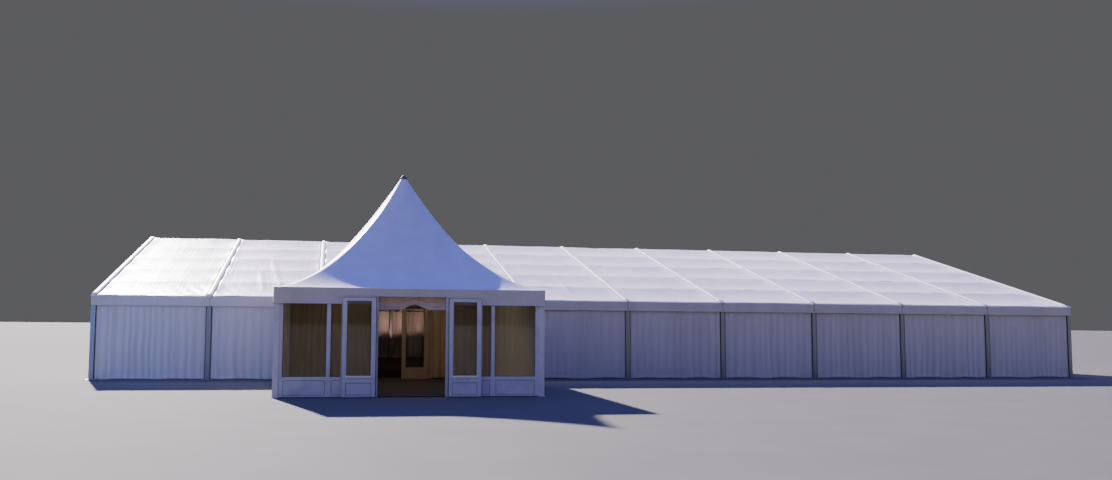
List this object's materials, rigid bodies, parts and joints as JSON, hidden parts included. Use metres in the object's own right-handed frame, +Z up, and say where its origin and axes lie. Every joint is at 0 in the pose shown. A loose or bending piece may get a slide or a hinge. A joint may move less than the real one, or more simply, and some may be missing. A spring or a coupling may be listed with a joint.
{
  "type": "marquee tent",
  "caption": "Long white frame marquee with a low pitched fabric roof and curtain walls, entered through a peaked pagoda porch with glazed doors.",
  "frame": {"origin": "on the ground, in the middle of the box around the whole tent", "axes": "+X along the ridge, +Y from the porch to the back wall, +Z up"},
  "size_m": [30.3, 21.048, 5.3142],
  "materials": {
    "pvc_white": "coated white PVC fabric, semi-gloss",
    "aluminium": "mill finish extrusion",
    "white_paint": "white powder coat",
    "cream_paint": "cream powder coat",
    "glass": "clear glazing",
    "carpet": "dark brown short-pile carpet",
    "drape": "brown gathered drape",
    "lining": "taupe gathered lining",
    "cap_grey": "dark grey cap"
  },
  "bodies": {
    "tent": {"portal_frame_01": "aluminium", "portal_frame_02": "aluminium", "portal_frame_03": "aluminium", "portal_frame_04": "aluminium", "portal_frame_05": "aluminium", "portal_frame_06": "aluminium", "portal_frame_07": "aluminium", "portal_frame_08": "aluminium", "portal_frame_09": "aluminium", "portal_frame_10": "aluminium", "portal_frame_11": "aluminium", "pagoda_frame": "aluminium", "roof_sheet_01": "pvc_white", "roof_sheet_02": "pvc_white", "roof_sheet_03": "pvc_white", "roof_sheet_04": "pvc_white", "roof_sheet_05": "pvc_white", "roof_sheet_06": "pvc_white", "roof_sheet_07": "pvc_white", "roof_sheet_08": "pvc_white", "roof_sheet_09": "pvc_white", "roof_sheet_10": "pvc_white", "front_wall_left": "pvc_white", "front_wall_right": "pvc_white", "back_wall_left": "pvc_white", "back_wall_right": "pvc_white", "gable_wall_left": "pvc_white", "gable_wall_right": "pvc_white", "gable_triangle_left": "pvc_white", "gable_triangle_right": "pvc_white", "pagoda_wall_left": "pvc_white", "pagoda_wall_right": "pvc_white", "pagoda_roof": "pvc_white", "entrance_screen": "white_paint", "inner_door_frame": "cream_paint", "screen_glass_left": "glass", "screen_glass_right": "glass", "main_floor": "carpet", "pagoda_floor": "carpet", "inner_drape_left": "drape", "inner_drape_right": "drape", "doorway_swag": "lining", "pagoda_cap": "cap_grey"},
    "entrance_door_left_leaf": {"entrance_door_left": "white_paint", "entrance_door_left_glass": "glass"},
    "entrance_door_right_leaf": {"entrance_door_right": "white_paint", "entrance_door_right_glass": "glass"},
    "inner_door_left_leaf": {"inner_door_left": "cream_paint", "inner_door_left_glass": "glass"},
    "inner_door_right_leaf": {"inner_door_right": "cream_paint", "inner_door_right_glass": "glass"}
  },
  "joints": [
    {"name": "entrance_left_hinge", "type": "hinge", "parent": "tent", "child": "entrance_door_left_leaf", "pos_m": [-7.72, -10.479, 0], "axis": [0, 0, 1], "range_deg": [0, 180]},
    {"name": "entrance_right_hinge", "type": "hinge", "parent": "tent", "child": "entrance_door_right_leaf", "pos_m": [-6.2, -10.479, 0], "axis": [0, 0, 1], "range_deg": [-180, 0]},
    {"name": "inner_left_hinge", "type": "hinge", "parent": "tent", "child": "inner_door_left_leaf", "pos_m": [-7.49, -4.811, 0], "axis": [0, 0, 1], "range_deg": [-90, 90]},
    {"name": "inner_right_hinge", "type": "hinge", "parent": "tent", "child": "inner_door_right_leaf", "pos_m": [-5.97, -4.811, 0], "axis": [0, 0, 1], "range_deg": [0, 180]}
  ]
}
